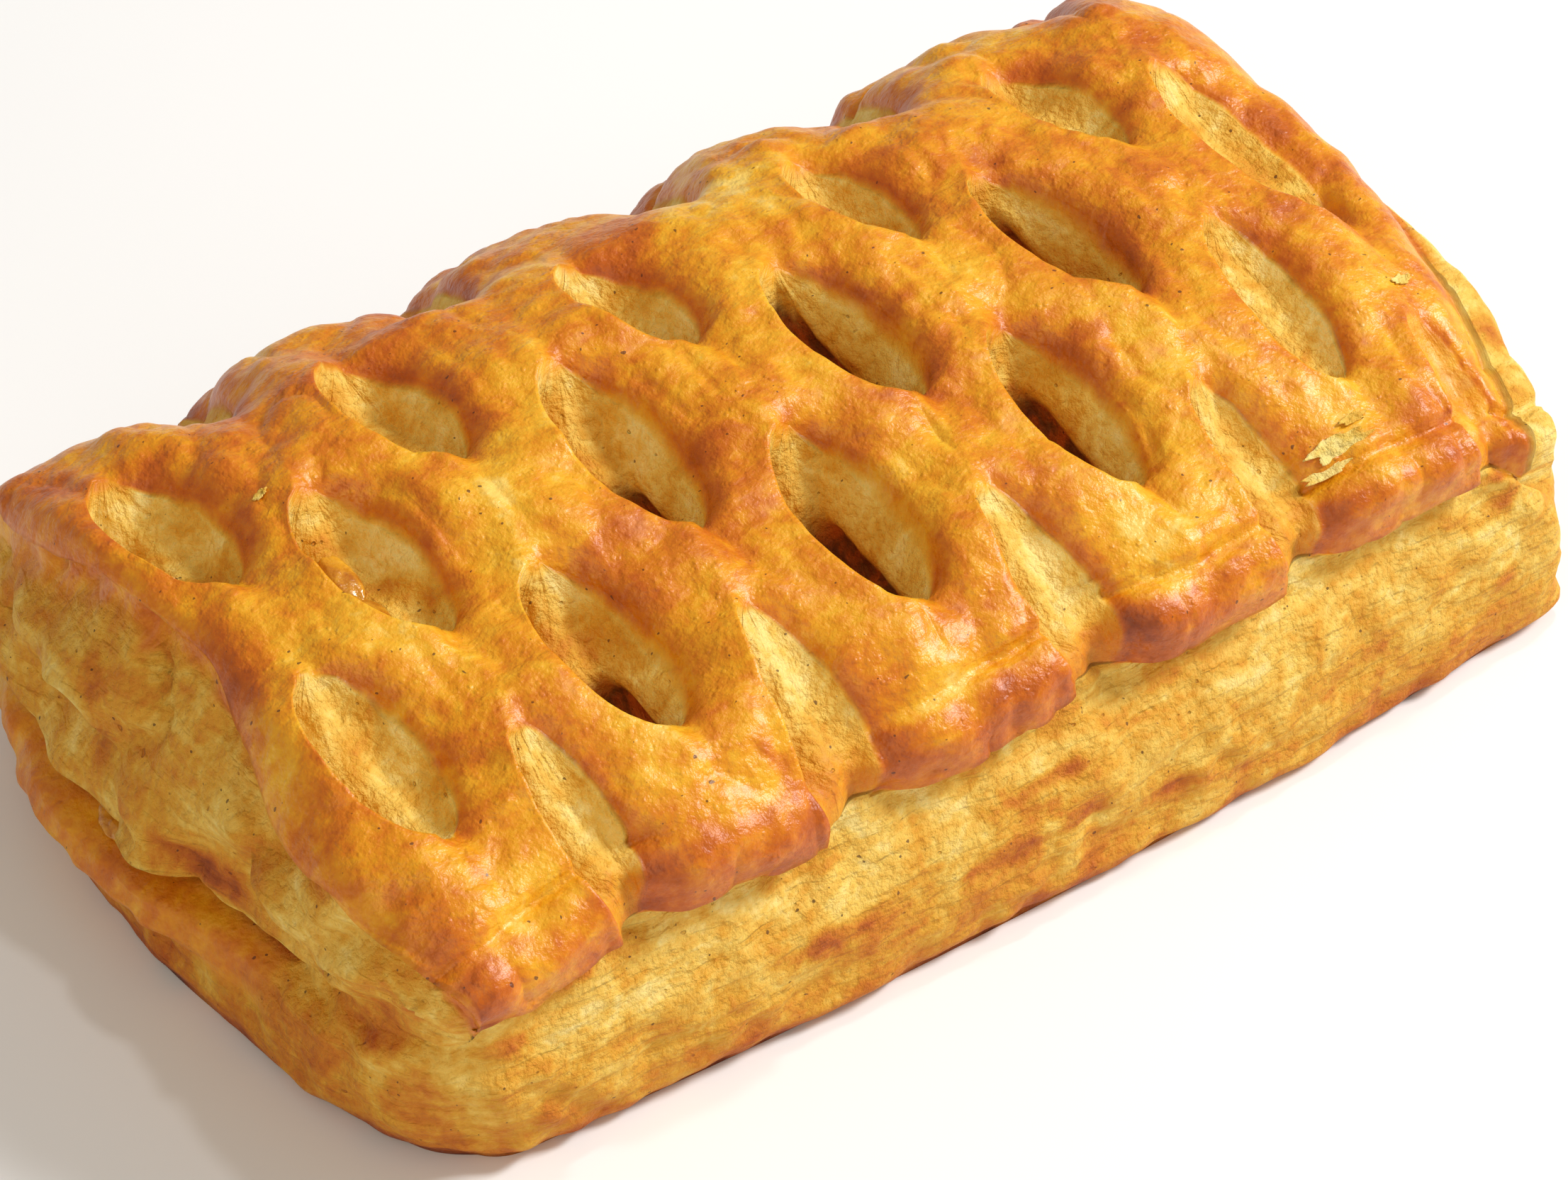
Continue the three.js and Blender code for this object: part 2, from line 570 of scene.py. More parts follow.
        out = np.abs(reach)[:, None]
        inward = 1 - ease(reach[-1] - 7, reach[-1] - 2, out)
        shallow = lerp(1.0, 0.42, ease(reach[-1] - 12, reach[-1] - 1, out))
        open_x, open_z = self.pocket_section(gap)
        even = np.linspace(-1.0, 1.0, open_x.shape[1])[None, :]
        spread = lerp(even, open_x, half / (half + 0.6) * inward)
        return {
            "x": spread * (self.closed + half) + (plain + shift)[:, None],
            "sink": sink * shallow * open_z,
            "inside": (half > 0.05) * np.ones_like(spread),
            "hollow": gap * np.ones_like(spread),
            "across": np.broadcast_to(even, spread.shape),
        }

    def strand_places(self) -> Array:
        """Return the places of a strand's lines from 0 to 1, closer at its two rims."""
        steps = np.linspace(0, 1, self.strand_steps + 1)
        return lerp(steps, ease(0, 1, steps), 0.45)

    def beside_notch(self, x: Array) -> Array:
        """Measure how close an X is to where a cut runs out over the near edge.

        Args:
            x: Places along the bun, in millimetres.

        Returns:
            1 within 3 mm of such a cut, and less by exp(-d) beyond.
        """
        notches = [slit.x for slit in itertools.chain(*self.lines) if slit.near < -OUTSIDE]
        away = np.min([np.abs(x - notch) for notch in notches], axis=0)
        return np.exp(-np.maximum(away - 3, 0) / 1.8)

    @staticmethod
    def pocket_section(gap: Array) -> tuple[Array, Array]:
        """Return a slit's cross-section, seventeen lines from left rim to right.

        The left wall drops straight and a little undercut. The right wall turns
        down crisply at its rim and swells towards the opening on its way to the
        floor. Over a gap it stops half way down, and the bottom drops off its
        lower edge.

        Args:
            gap: How far the bottom falls away, from 0 to 1.

        Returns:
            Place across in half widths and depth as a share of the pocket's.
        """
        left_x = [-1.0, -0.99, -1.03, -1.07, -1.07, -1.02]
        left_z = [0.0, 0.06, 0.32, 0.62, 0.86, 0.98]
        shut_x = left_x + [-0.86, -0.66, -0.44, -0.22, 0.02, 0.26, 0.48, 0.68, 0.85, 0.96, 1.0]
        shut_z = left_z + [1.0, 0.94, 0.85, 0.75, 0.63, 0.50, 0.38, 0.26, 0.15, 0.06, 0.0]
        open_x = left_x + [-0.70, -0.34, 0.06, 0.34, 0.44, 0.28, 0.40, 0.56, 0.78, 0.95, 1.0]
        open_z = left_z + [1.0, 1.0, 0.96, 0.82, 0.58, 0.43, 0.36, 0.27, 0.16, 0.06, 0.0]
        x = lerp(np.array(shut_x)[None, :], np.array(open_x)[None, :], gap)
        return x, lerp(np.array(shut_z)[None, :], np.array(open_z)[None, :], gap)

    @staticmethod
    def arch_normal(base: Array) -> Array:
        """Work out the dome's outward normal across the bun.

        Args:
            base: The lid's plain points.

        Returns:
            Unit vectors at right angles to the slope from row to row.
        """
        over = np.gradient(base, axis=0)
        over[..., 0] = 0.0
        over /= np.linalg.norm(over, axis=-1, keepdims=True) + 1e-9
        return np.stack([np.zeros_like(over[..., 0]), -over[..., 2], over[..., 1]], axis=-1)

    def near_slits(self, base: Array, reach: Array) -> tuple[Array, Array, Array]:
        """Measure how close each point of the lid is to the slits.

        Formula: exp(-d), d being how far a point lies outside a cut's lens; the
        cut that gives the most counts.

        Args:
            base: The lid's plain points.
            reach: Each row's distance over the lid.

        Returns:
            The closeness to any rim, to a right or near rim, and to a left rim.
        """
        x, c = base[..., 0], reach[:, None]
        rim, ring, lip = (np.zeros_like(x) for _ in range(3))
        for slit in itertools.chain(*self.lines):
            aside = x - slit.middle(c)
            beyond = np.maximum(np.abs(aside) - (slit.opening(c) + self.closed), 0)
            past = np.maximum(slit.near - c, 0) + np.maximum(c - slit.far, 0)
            away = np.hypot(beyond, past * 0.8)
            size = min(1.0, slit.depth / 7)
            right = ease(-1.5, 2.0, aside) * (1 - 0.5 * ease(slit.far - 4, slit.far + 3, c))
            close = (0.5 * np.exp(-away / 1.4) + 0.5 * np.exp(-away / 4.5)) * size
            both = 0.6 * (slit.far > OUTSIDE)
            rim = np.maximum(rim, close * (0.12 + both + (0.88 - both) * right))
            ring = np.maximum(ring, np.exp(-away / 3.0) * right * size)
            lip = np.maximum(lip, np.exp(-away / 1.4) * ease(-1.0, 1.5, -aside) * size)
        return rim, ring, lip

    def puffing(self, base: Array, rim: Array, lip: Array) -> Array:
        """Return how far the lid swells at each point.

        Formula: strands swell away from the slits, plus large, middling and
        small unevenness of the dough, thin furrows, and a fuller right end
        whose last strand has sunk beside its slit.

        Args:
            base: The lid's plain points.
            rim: Closeness to any slit's rim.
            lip: Closeness to a slit's left rim.

        Returns:
            The shift along the normal, in millimetres.
        """
        swell = 2.9 * (1 - rim) - 1.7 + 0.3 * lip
        large = 0.9 * noise(base, 15.0, 11) + 0.75 * noise(base, (8.0, 6.0, 8.0), 12)
        small = 0.42 * noise(base, 3.6, 13) + 0.18 * noise(base, 1.7, 14)
        crumple = np.abs(noise(base + 2.0 * noise(base, 7.0, 16)[..., None], (5.0, 9.0, 5.0), 15))
        x, y = base[..., 0], base[..., 1]
        end_puff = 3.0 * spot(x, y, (68, 24), (10, 11))
        sunk = 1.2 * ease(67.0, 69.5, x) * bell(y, 2.0, 15.0)
        sunk = sunk + 2.2 * spot(x, y, (67.0, -11.5), (1.6, 4.0))
        crest = 1.2 * spot(x, y, (-66, -20), (5, 9)) + 1.8 * spot(x, y, (-69, 17), (2.6, 12))
        return swell + large + small + end_puff - sunk + crest - 0.5 * (1 - crumple) ** 6

    def tab_crease(self, base: Array, reach: Array) -> Array:
        """Return the shift that folds the lid's long edges into a band.

        Formula: a narrow groove at the band's top, and below it a low swell.

        Args:
            base: The lid's plain points.
            reach: Each row's distance over the lid.

        Returns:
            The shift along the normal, in millimetres.
        """
        wobble = 1.3 * noise(base * (1, 0, 0), 11.0, 21)
        to_edge = reach[-1] - np.abs(reach)[:, None] + wobble
        groove = bell(to_edge, self.tab_band, 1.4)
        swell = bell(to_edge, self.tab_band * 0.42, self.tab_band * 0.5)
        fade = ease(0.2, 0.6, 0.5 + noise(base * (1, 0, 0), 30.0, 22))
        return 1.1 * swell - 1.2 * groove * fade

    def round_ends(self, point: Array, left: Array, right: Array, y_share: Array) -> Array:
        """Turn the lid down at its cut ends, over a few millimetres.

        Args:
            point: The lid's points.
            left: X of the left cut edge in each row.
            right: X of the right cut edge in each row.
            y_share: The arch's place across, from -1 to 1.

        Returns:
            The points, lowered near the two edges by exp(-distance).
        """
        x = point[..., 0]
        to_end = np.maximum(np.minimum(x - left[:, None], right[:, None] - x), 0)
        drop = 1.9 * np.exp(-to_end / 1.2) + 1.3 * np.exp(-to_end / 4)
        down = drop * (1 - y_share[:, None] ** 8)
        return point - down[..., None] * np.array([0.0, 0.0, 1.0])

    # -- walls and ends --

    def wall(self, lid: Arrays) -> Arrays:
        """Hang the walls and ends from the lid's edge, down to the underside.

        Formula: a section carried round the lid's edge. Along the sides it
        tucks in under the lid and swells to a bowed foot. At an end it slopes
        out down the lid's cut face, folds into the mouth, runs out over the
        base's lip and turns down to the tray. The two blend round the corners.

        Args:
            lid: The lid's arrays.

        Returns:
            Arrays over wall rows and the points of the ring, or the ring alone.
        """
        rows, columns = lid["point"].shape[:2]
        marks = self.side_marks(rows, columns)
        grids = (lid["point"], lid["base"], lid["reach"], marks)
        rim, smooth, reach, side = map(self.round_trip, grids)
        at_end = np.abs(side) == 2
        v = np.where(at_end, reach / np.abs(lid["reach"]).max(), smooth[:, 1] / self.seam)
        first, last = smooth[0, 0], smooth[columns - 1, 0]
        u = np.clip(2 * (smooth[:, 0] - first) / (last - first) - 1, -1, 1)
        open_share = np.where(at_end, 1 - np.abs(v) ** 6, 0.0)

        even = np.linspace(0.0, 1.0, self.wall_rows)[:, None]
        t = lerp(even, even**2, 0.3 * (1 - open_share))
        top = rim[:, 2]
        side_out, side_z = self.side_section(t, top, lerp(1.0, 0.25, ease(0.84, 1.0, np.abs(u))))
        end_out, end_z = self.end_section(t, top, v, side == -2)
        z = lerp(side_z, end_z, open_share)
        bow = np.where(at_end, 0.0, self.side_bow * (1 - u**2) + 1.1 * (u + 1))
        foot_bow = bow * (1 - z / np.maximum(top, 1)) ** 0.9
        foot, out = self.footprint(side, u, v)
        flat = foot + out * lerp(side_out + foot_bow, end_out, open_share)[..., None]
        fast = ease(0.0, 0.05, t)
        slow = lerp(ease(0.0, 0.3, t), t**0.8, open_share)
        settle = np.stack([np.where(at_end, fast, slow), np.where(at_end, slow, fast)], axis=-1)
        point = np.concatenate([lerp(rim[:, :2], flat, settle), z[..., None]], axis=-1)

        layer = z + open_share * 0.12 * np.abs(v) * z + 1.2 * noise(point, (22.0, 22.0, 30.0), 30)
        lamina = np.concatenate([point[..., :2], layer[..., None]], axis=-1)
        depth = noise(lamina, (20.0, 20.0, 1.3), 31) + 0.6 * noise(lamina, (7.0, 7.0, 0.8), 32)
        rough = 0.65 * noise(point, 7.0, 33) + 0.55 * noise(point, 2.8, 34)
        bent = point + 3.0 * noise(point, 12.0, 36)[..., None]
        face = open_share * (1 - ease(0.42, 0.5, t))
        creases = (1 - np.abs(noise(bent, (9.0, 12.0, 6.0), 35))) ** 5 * face
        folds = 3.0 * noise(bent, (12.0, 17.0, 4.2), 38) * face - 2.4 * creases
        folds = folds + 0.8 * noise(point, (9.0, 13.0, 6.5), 37) * open_share
        folds = folds * np.where(side == 2, 0.45, 1.0)
        fade = ease(0.0, 0.1, t) * (1 - ease(0.96, 1.0, t)) * np.where(side == 2, 0.55, 1.0)
        point[..., :2] += out * (fade * (0.27 * depth + rough + folds))[..., None]
        return {
            "point": point,
            "t": t,
            "lamina": lamina,
            "crease": creases,
            "v": v,
            "side": side,
            "notch": self.round_trip(lid["inside"] * ease(0.3, 0.9, lid["sink"])),
        }

    def footprint(self, side: Array, u: Array, v: Array) -> tuple[Array, Array]:
        """Place the foot under each point of the ring, on a rounded oblong.

        Formula: a point within the corner's radius of a corner moves from the
        oblong's side onto the quarter circle, at the same share of its way.

        Args:
            side: Which side of the ring each point is on.
            u: Place along the bun, from -1 to 1.
            v: Place across the bun, from -1 to 1.

        Returns:
            The foot's X and Y in millimetres, and the outward direction there.
        """
        at_end = np.abs(side) == 2
        x_sign = np.where(at_end, np.sign(side), np.sign(u))
        y_sign = np.where(at_end, np.sign(v), np.sign(side))
        radius = np.where(x_sign > 0, 3.2, 7.5)
        x_gap = self.corner * (1 - np.where(at_end, 1.0, np.abs(u)))
        y_gap = self.seam * (1 - np.where(at_end, np.abs(v), 1.0))
        round_ = (x_gap < radius) & (y_gap < radius)
        way = np.where(at_end, radius + y_gap, radius - x_gap)
        turn = np.clip(way / (2 * radius), 0, 1) * math.pi / 2
        x = self.corner - np.where(round_, radius * (1 - np.sin(turn)), x_gap)
        y = self.seam - np.where(round_, radius * (1 - np.cos(turn)), y_gap)
        out_x = np.where(round_, np.sin(turn), at_end * 1.0)
        out_y = np.where(round_, np.cos(turn), 1.0 - at_end)
        foot = np.stack([self.middle + x_sign * x, y_sign * y], axis=-1)
        return foot, np.stack([x_sign * out_x, y_sign * out_y], axis=-1)

    def side_section(self, t: Array, top: Array, hold: Array) -> tuple[Array, Array]:
        """Return the long wall's offset outward and height, down from the lid's edge.

        The wall tucks in under the tabs, level with the floor of the slits that
        run out between them, and swells again before its heel.

        Args:
            t: Place down the section, from 0 to 1.
            top: Height of the lid's edge.
            hold: How much of the tuck is kept, which is less at the corners.

        Returns:
            The offset beyond the foot's oblong and the height, in millimetres.
        """
        tuck = (-2.2 + 1.8 * ease(0.05, 0.5, t)) * hold
        swell = 0.9 * np.sin(math.pi * np.clip((t - 0.15) / 0.85, 0, 1))
        heel = -1.5 * ease(0.88, 1.0, t) ** 2
        return tuck + swell + heel, top * (1 - t)

    def mouth_share(self, v: Array, left: Array) -> Array:
        """Return how far the mouth between lid and base stands open at an end.

        Args:
            v: Place across the bun, from -1 to 1.
            left: Whether a point is on the left end.
        """
        at_left = ease(-0.46, -0.30, v) * (1 - ease(0.55, 0.9, v))
        return np.where(left, at_left, 0.5 * bell(v, 0.1, 0.7))

    def end_section(
        self, t: Array, top: Array, v: Array, left: Array
    ) -> tuple[Array, Array]:
        """Return an end's offset outward and height, down from the lid's cut edge.

        Formula: sections at seven even stations across the bun, blended along
        it. Each goes down the lid's face, in to the mouth under it, out over
        the base's lip, in a little below it, and down to the tray.

        Args:
            t: Place down the section, from 0 to 1.
            top: Height of the lid's cut edge.
            v: Place across the bun, from -1 to 1.
            left: Whether a point is on the left end.

        Returns:
            The offset beyond the corners and the height, in millimetres.
        """
        corner = [0.0, 0.6, 1.0, 1.2, 1.3, 1.3, 1.3, 1.3, 1.3, 1.3, 1.3, 1.3, 1.2, 1.1, 0.5, -1.0]
        left_out = [
            corner,
            [3.6, 4.4, 5.0, 5.4, 5.5, 5.3, 5.1, 5.0, 5.0, 5.1, 5.2, 5.4, 5.6, 5.8, 5.6, 4.0],
            [2.6, 3.4, 4.4, 5.2, 5.9, 5.8, 2.6, 0.4, 0.8, 3.4, 5.4, 6.4, 6.2, 6.4, 7.4, 6.2],
            [-1.4, -0.2, 1.8, 4.4, 6.6, 7.4, 3.6, -0.6, 0.2, 4.8, 9.0, 10.6, 9.6, 8.4, 8.6, 7.6],
            [0.0, -0.4, 1.0, 3.8, 6.6, 7.6, 5.0, 2.2, 2.6, 6.4, 9.6, 10.8, 9.6, 8.0, 7.6, 6.4],
            [0.6, 0.0, 0.8, 2.6, 4.6, 5.0, 3.8, 2.6, 3.0, 4.8, 6.2, 7.0, 6.6, 5.9, 5.4, 4.2],
            corner,
        ]
        right_out = [
            [-5.0, -3.2, -1.6, 0.2, 1.6, 2.4, 3.0, 3.3, 3.4, 3.4, 3.4, 3.4, 3.3, 3.2, 3.0, 2.0],
            [-0.6, 0.8, 2.2, 3.6, 4.6, 5.0, 5.2, 5.3, 5.4, 5.7, 6.0, 6.0, 5.8, 5.4, 4.8, 3.2],
            [2.2, 3.6, 5.2, 6.4, 7.0, 6.8, 5.8, 5.2, 5.2, 5.9, 7.0, 7.2, 6.8, 6.2, 5.4, 3.8],
            [3.2, 4.4, 5.8, 6.8, 7.0, 6.4, 4.4, 3.2, 3.6, 5.2, 7.0, 7.6, 7.2, 6.6, 5.8, 4.2],
            [3.6, 4.8, 6.2, 7.0, 7.0, 6.4, 4.6, 3.6, 4.0, 5.4, 7.0, 7.4, 7.0, 6.2, 5.4, 3.8],
            [2.6, 3.8, 5.0, 5.6, 5.6, 5.2, 4.6, 4.4, 4.6, 5.0, 5.6, 5.8, 5.4, 4.8, 4.2, 2.6],
            corner,
        ]
        edge = 16.6  # height down to which a section rises with the lid's edge
        share = np.array([0, 0.05, 0.20, 0.45, 0.75] + [1.0] * 11)
        low = np.array([edge] * 6 + [14.6, 13.3, 12.6, 12.2, 11.4, 9.4, 7.2, 5.6, 2.8, 0.0])
        z = through(low, t) + (top - edge) * (1 - through(share, t))
        outs = [through(np.array(rows), (v + 1) / 2).T for rows in (left_out, right_out)]
        offset = np.where(left, *outs)
        last = len(offset) - 1
        k = np.minimum((t * last).astype(int), last - 1)
        f = t * last - k
        pick = np.arange(offset.shape[1])
        return lerp(offset[k, pick], offset[k + 1, pick], lerp(f, ease(0, 1, f), 0.35)), z

    # -- putting the surface together --

    @staticmethod
    def round_trip(grid: Array) -> Array:
        """Return the grid's border, anticlockwise from the near left corner."""
        return np.concatenate([grid[0, :-1], grid[:-1, -1], grid[-1, :0:-1], grid[:0:-1, 0]])

    @staticmethod
    def side_marks(rows: int, columns: int) -> Array:
        """Mark the sides of the lid's grid.

        Args:
            rows: Number of rows.
            columns: Number of columns.

        Returns:
            -1 at the near side, 1 far, -2 at the left end and 2 at the right.
        """
        marks = np.zeros((rows, columns))
        marks[0, :] = -1
        marks[-1, :] = 1
        marks[1:-1, 0] = -2
        marks[1:-1, -1] = 2
        return marks

    def surface(self, lid: Arrays) -> Surface:
        """Join lid, walls and underside into one closed surface with its values.

        Args:
            lid: The lid's arrays.

        Returns:
            The crust's surface.
        """
        wall = self.wall(lid)
        rows, columns = lid["point"].shape[:2]
        top = np.arange(rows * columns).reshape(rows, columns)
        edge = self.round_trip(top)
        shares = np.array([0.94, 0.75, 0.45])[:, None, None]
        under = wall["point"][-1] * np.array([1, 1, 0]) * shares
        lower = np.concatenate([wall["point"][1:], under])
        index = top.size + np.arange(lower[..., 0].size).reshape(-1, len(edge))
        centre = np.full(len(edge), top.size + index.size)
        fan = np.stack([centre, np.roll(index[-1], -1), index[-1]], axis=-1)
        faces = [grid_faces(top), ring_faces(np.concatenate([edge[None], index])), fan]
        points = [lid["point"].reshape(-1, 3), lower.reshape(-1, 3), np.zeros((1, 3))]
        values = self.values(lid, wall, under[..., 0].size + 1)
        return Surface(np.concatenate(points), faces, values)

    def values(self, lid: Arrays, wall: Arrays, under: int) -> Arrays:
        """Work out the values that the finish reads, for every point.

        Args:
            lid: The lid's arrays.
            wall: The walls' arrays.
            under: Number of points in the underside.

        Returns:
            cut: 0 on the glazed skin, 1 on bare layered dough.
            bake_and_shade: how brown a point is, from 0 to BURNT, darkened
                in places as painted shade.
            painted_shade: painted shade in slits and the mouth, from 0 to 1,
                more the deeper a point lies.
            lamina: place along and across the layers, in millimetres.
        """
        tops, lows = self.lid_values(lid), self.wall_values(wall)
        below = {"cut": 0.6, "bake_and_shade": 0.62, "painted_shade": 0.0, "lamina": 0.0}

        def join(name: str) -> Array:
            """Chain the lid's, the walls' and the underside's values.

            Args:
                name: Which value.

            Returns:
                The value at every vertex.
            """
            top, low = tops[name], lows[name]
            width = top.shape[2:]
            tail = np.full((under, *width), below[name])
            return np.concatenate([top.reshape(-1, *width), low[1:].reshape(-1, *width), tail])

        return {name: join(name) for name in below}

    def lid_values(self, lid: Arrays) -> Arrays:
        """Work out what the finish reads on the lid and down its slits.

        The skin browns along the tabs' band, round the slits' right rims and
        at the cut ends, and stays pale in the last valley at the near right.
        Painted shade darkens the far left, the depths of the slits, the gaps
        along their left lips and a small hole.

        Args:
            lid: The lid's arrays.

        Returns:
            cut, bake_and_shade, painted_shade and lamina over rows and columns.
        """
        base, across, sink, reach = lid["base"], lid["across"], lid["sink"], lid["reach"]
        x, y = base[..., 0], base[..., 1]
        skin_side = np.maximum(ease(0.80, 0.92, across), 1 - ease(-0.97, -0.86, across))
        egg = 0.5 * ease(-52, -40, -np.abs(reach)) + 0.5
        valley = ease(56, 58, x) * ease(26, 30, -reach)
        bare = lid["inside"] * (1 - skin_side) * ease(0.10, 0.5, sink)
        cut = egg * (1 - 0.7 * valley) * bare
        to_edge = np.abs(reach).max() - np.abs(reach)
        band = ease(-self.tab_band - 0.6, -self.tab_band + 1.2, -to_edge)
        burnt = (
            spot(x, y, (-65.8, -4.0), (3.4, 6.5))
            + 0.5 * spot(x, y, (-66.5, -40.0), (4.0, 7.0))
            + 0.3 * ease(68.0, 70.0, x) * bell(y, 0.0, 17.0)
        )
        bake_and_shade = (
            0.27
            + 0.06 * ease(10, 60, x)
            + 0.15 * cloudy(base, 12.0, 41)
            + 0.25 * lid["ring"]
            + 0.04 * lid["lip"]
            + band * (0.23 + 0.08 * noise(base, 9.0, 43))
            + 0.14 * np.where(y > 0, ease(60, 66, np.abs(x)), ease(61.5, 67.0, -x))
            - 0.20 * valley * lid["inside"] * ease(0.1, 0.8, sink)
            - 0.13 * ease(62.0, 65.0, x) * ease(24, 32, -reach)
            + 0.29 * burnt
            # painted shade: darker over the far left of the lid, which faces away from the key
            # light
            + 0.10 * ease(0.0, 30.0, y) * ease(-20, 10, -x)
        )
        # inside a slit the layers are painted darker the deeper they lie: painted shade in the
        # pocket
        deepest = np.clip(sink / DEEP, 0, 1)
        bake_and_shade = lerp(bake_and_shade, 0.14 + 0.24 * deepest, cut)
        hollow = lid["hollow"]
        # painted shade: dark along the left lip over a slit's gap, a little darker the deeper a
        # closed slit goes, and dark in the small hole
        painted_shade = hollow * ease(0.30, 0.48, sink / DEEP) * (1 - ease(0.27, 0.36, across))
        painted_shade = painted_shade + (1 - hollow) * 0.14 * deepest + 0.5 * lid["hole"]
        lamina = np.stack([reach, x * 0.2, 5.5 * across + 0.35 * sink], axis=-1)
        return {"cut": cut, "bake_and_shade": np.clip(bake_and_shade, 0, BURNT), "painted_shade": painted_shade, "lamina": lamina}

    def wall_values(self, wall: Arrays) -> Arrays:
        """Work out what the finish reads on the walls and ends.

        Egg spills over the lid's edge and browns, the foot browns on the tray,
        and the base's lip is glazed where the mouth stands open. Painted shade
        darkens the creases of the cut ends and the mouth under the lid.

        Args:
            wall: The walls' arrays.

        Returns:
            cut, bake_and_shade, painted_shade and lamina over wall rows and the ring.
        """
        t, ring, side, v = wall["t"], wall["point"], wall["side"], wall["v"]
        z, at_end, left, right = ring[..., 2], np.abs(side) == 2, side == -2, side == 2
        closed = 1 - wall["notch"]
        gape = self.mouth_share(v, left) * at_end
        ragged = noise(ring, (7.0, 7.0, 60.0), 51) + 0.5 * noise(ring, (2.5, 2.5, 60.0), 55)
        spill_end = lerp(0.09, 0.19, ease(0.2, 0.55, v)) + 0.05 * ragged
        spill_end = spill_end * (1 - 0.9 * right * (1 - ease(-0.5, 0.1, v)))
        spill = np.where(at_end, spill_end, 0.03 + 0.012 * ragged) * closed
        skin = (1 - ease(-0.012, 0.012, t - np.maximum(spill, 0))) * closed
        lip_top = ease(0.56, 0.63, t) * (1 - ease(0.78, 0.83, t + 0.03 * ragged)) * gape
        foot = 1 - ease(0.8, 3.4, z + noise(ring, (9.0, 9.0, 60.0), 52))
        drips = ease(0.45, 0.9, cloudy(ring * (1, 1, 1.7), 9.0, 53)) * ease(5, 11, z)
        streaks = ease(0.2, 0.8, noise(wall["lamina"], (13.0, 13.0, 1.8), 54))
        burn = bell(v, -0.20, 0.17) * bell(t + 0.12 * v, 0.28, 0.045) * left
        bake_and_shade = (
            0.25
            + 0.20 * ease(-16, -3, -z)
            + 0.24 * foot
            + 0.30 * drips * (1 - 0.6 * at_end)
            + 0.40 * burn
            + 0.14 * streaks * at_end
            # painted shade: darker in the creases of the cut ends' faces
            + 0.20 * wall["crease"]
            - 0.04 * (1 - at_end)
            - 0.10 * right
        )
        bake_and_shade = lerp(bake_and_shade, 0.40 + 0.10 * ragged, np.maximum(skin, lip_top))
        return {
            "cut": (1 - skin) * (1 - 0.9 * lip_top),
            "bake_and_shade": np.clip(bake_and_shade, 0, BURNT),
            # painted shadow in the mouth between the lid's end and the base's lip
            "painted_shade": 0.75 * bell(t, 0.54, 0.09) * ease(0.1, 0.5, gape),
            "lamina": wall["lamina"],
        }


# ---- what lies on the crust ----


@dataclass(frozen=True)
class Blob:
    """One drop of fruit filling, sunk half into the crust, in millimetres."""

    centre: tuple[float, float, float]
    radii: tuple[float, float, float]
    turn: float = 0.0  # degrees about +Z
    seed: int = 0

    def surface(self) -> Surface:
        """Work out the drop.

        Formula: an ellipsoid over angle down and angle round, its radius
        swollen and dented by smooth noise.

        Returns:
            The drop, closed.
        """
        down = np.linspace(0, math.pi, 26)[:, None]
        round_ = np.linspace(0, 2 * math.pi, 48, endpoint=False)
        level = np.sin(down)
        unit = [level * np.cos(round_), level * np.sin(round_), np.cos(down) + 0 * round_]
        unit = np.stack(unit, axis=-1)
        large, small = noise(unit * 10, 9.0, self.seed), noise(unit * 10, 4.0, self.seed + 1)
        local = unit * np.array(self.radii) * (1 + 0.22 * large + 0.10 * small)[..., None]
        c, s = math.cos(math.radians(self.turn)), math.sin(math.radians(self.turn))
        x, y, z = np.moveaxis(local, -1, 0)
        placed = np.stack([c * x - s * y, s * x + c * y, z], axis=-1) + self.centre
        rings = placed[1:-1]
        points = np.concatenate([rings.reshape(-1, 3), placed[0, :1], placed[-1, :1]])
        return Surface(points, capped_faces(*rings.shape[:2]))


@dataclass
class Filling:
    """Fruit filling that welled up in a slit and out of the left mouth."""

    blobs: tuple[Blob, ...] = (
        Blob((-50.6, -3.5, 34.2), (2.0, 5.8, 1.5), 4.0, 71),
        Blob((-50.2, 2.6, 35.2), (1.8, 3.8, 1.2), -8.0, 73),
        Blob((-72.6, 12.6, 13.8), (2.4, 4.4, 1.6), 10.0, 75),
        Blob((-74.2, 8.2, 12.4), (1.8, 3.6, 0.9), -20.0, 77),
    )

    def surface(self) -> Surface:
        """Return every drop as one surface."""
        return merged([blob.surface() for blob in self.blobs])


@dataclass(frozen=True)
class Flake:
    """One loose flake of dough on the lid, in millimetres."""

    x: float
    reach: float  # over the lid from its ridge, negative towards the near side
    length: float
    width: float
    seed: int
    lift: float = 0.25


